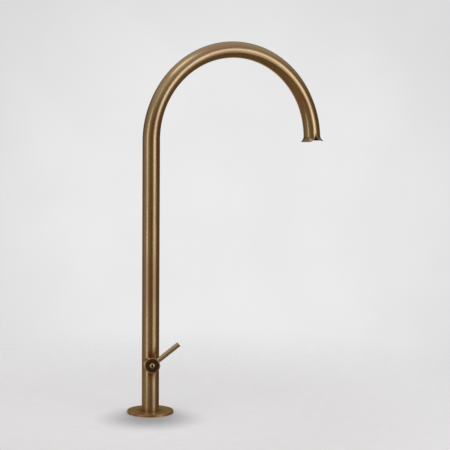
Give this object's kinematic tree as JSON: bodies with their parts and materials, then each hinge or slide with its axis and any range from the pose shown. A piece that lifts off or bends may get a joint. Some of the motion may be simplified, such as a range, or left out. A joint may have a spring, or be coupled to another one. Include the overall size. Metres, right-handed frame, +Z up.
{
  "type": "garden tap",
  "caption": "Deck-mounted swan-neck garden tap in aged brass: swivelling round spout with a slit and belled mouth, quarter-turn side lever valve, round base flange, threaded tail.",
  "frame": {"origin": "centre of the base flange's underside, on the column's axis at deck level; the tail and clamp hang below it through the deck", "axes": "+Z up along the column, +X towards the mouth of the spout, the valve faces -Y turned 17.5 degrees towards -X"},
  "size_m": [0.3531, 0.0771, 0.6649],
  "materials": {
    "aged_brass": "chemically aged, brushed and waxed, uneven brown patina",
    "polished_brass": "worn bright on the edges, darker in the socket",
    "raw_brass": "machined, uncoated",
    "brushed_steel": "stainless, satin",
    "black_rubber": "matt moulded rubber",
    "dark_plastic": "self-coloured bearing plastic",
    "ceramic": "lapped sealing ceramic",
    "red_fibre": "vulcanised fibre"
  },
  "bodies": {
    "base": {"base_flange": "aged_brass", "deck_gasket": "black_rubber", "mounting_shank": "raw_brass", "shank_seal": "red_fibre", "underdeck_rubber_washer": "black_rubber", "underdeck_steel_washer": "brushed_steel", "lock_nut": "raw_brass", "valve_body": "aged_brass", "headwork_body": "raw_brass", "headwork_o_ring": "black_rubber", "seat_seal": "black_rubber", "fixed_disc": "ceramic", "slip_washer": "dark_plastic", "hub_glide_ring": "dark_plastic", "swivel_spigot": "raw_brass", "spigot_bearings": "dark_plastic", "spigot_o_rings": "black_rubber"},
    "spout": {"spout_tube": "aged_brass", "slip_ring": "dark_plastic", "spout_grub_screw": "brushed_steel"},
    "handle": {"handle_hub": "aged_brass", "lever_rod": "aged_brass", "handle_screw": "polished_brass", "spindle": "raw_brass", "moving_disc": "ceramic", "circlip": "brushed_steel", "spindle_o_rings": "black_rubber"}
  },
  "joints": [
    {"name": "spout_swivel", "type": "hinge", "parent": "base", "child": "spout", "pos_m": [0, 0, 0.135], "axis": [0, 0, 1], "continuous": true},
    {"name": "handle_turn", "type": "hinge", "parent": "base", "child": "handle", "pos_m": [0, 0, 0.082], "axis": [-0.3007, -0.9537, 0], "range_deg": [-38, 52]}
  ]
}
